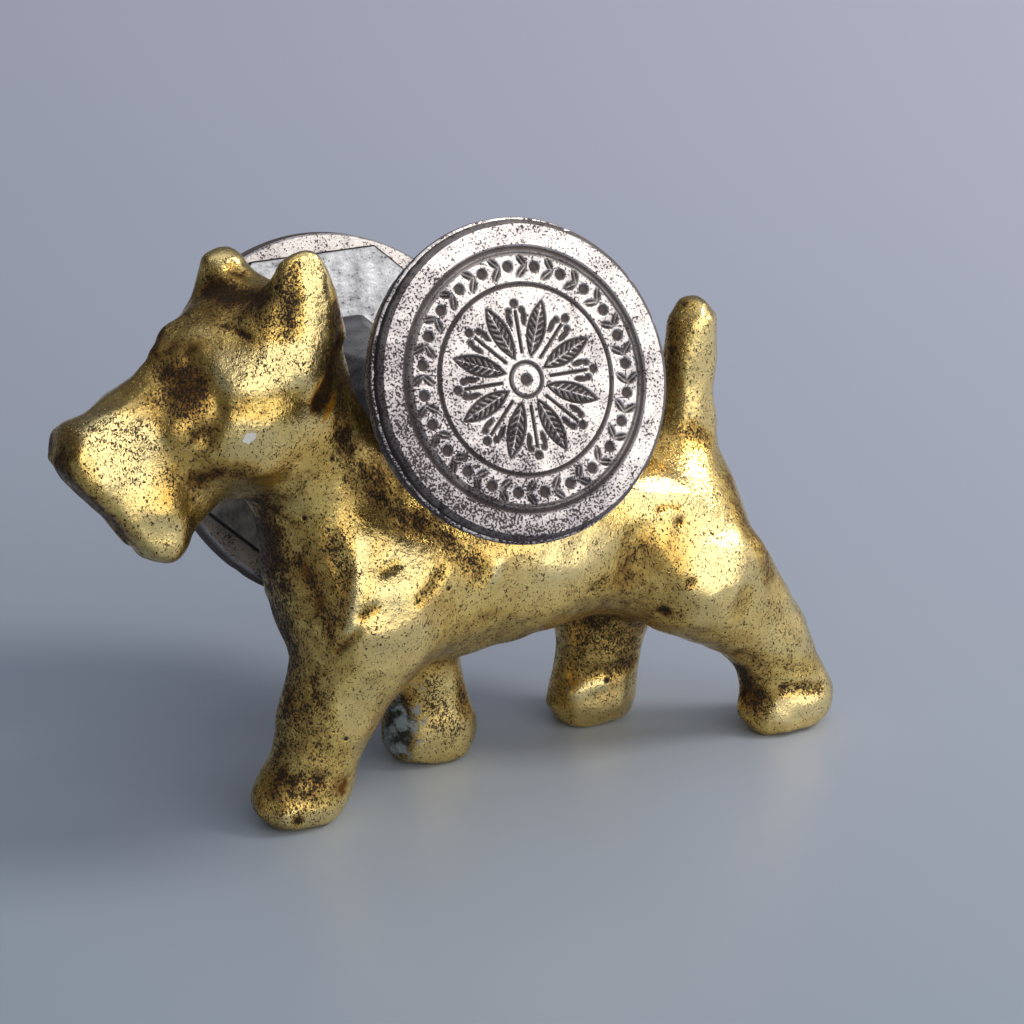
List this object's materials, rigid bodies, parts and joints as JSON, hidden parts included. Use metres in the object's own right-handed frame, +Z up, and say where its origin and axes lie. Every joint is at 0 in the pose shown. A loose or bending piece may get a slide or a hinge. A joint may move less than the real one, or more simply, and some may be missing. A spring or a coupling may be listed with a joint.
{
  "type": "desk seal",
  "caption": "Double-ended steel hand seal with round engraved dies and a waisted octagonal grip, lying across the back of a cast brass terrier that serves as its desk rest.",
  "frame": {"origin": "on the ground under the middle of the whole part's box", "axes": "-X towards the terrier's nose, -Y towards its left flank and the small die, +Z up"},
  "size_m": [0.082, 0.0556, 0.0616],
  "materials": {
    "cast_brass": "worn cast brass with brown patina and fine black pitting",
    "die_steel": "worn engraved steel, finely pitted",
    "plate_steel": "dull scratched steel",
    "grip_steel": "dark worn steel",
    "stud_steel": "plain steel"
  },
  "bodies": {
    "terrier": {"terrier": "cast_brass"},
    "seal": {"grip": "grip_steel", "small_plate": "plate_steel", "large_plate": "plate_steel", "small_die": "die_steel", "large_die": "die_steel", "small_stud": "stud_steel", "large_stud": "stud_steel"}
  },
  "joints": [
    {"name": "seal_lift", "type": "slide", "parent": "terrier", "child": "seal", "axis": [0, 0, 1], "range_m": [0, 0.05]}
  ]
}
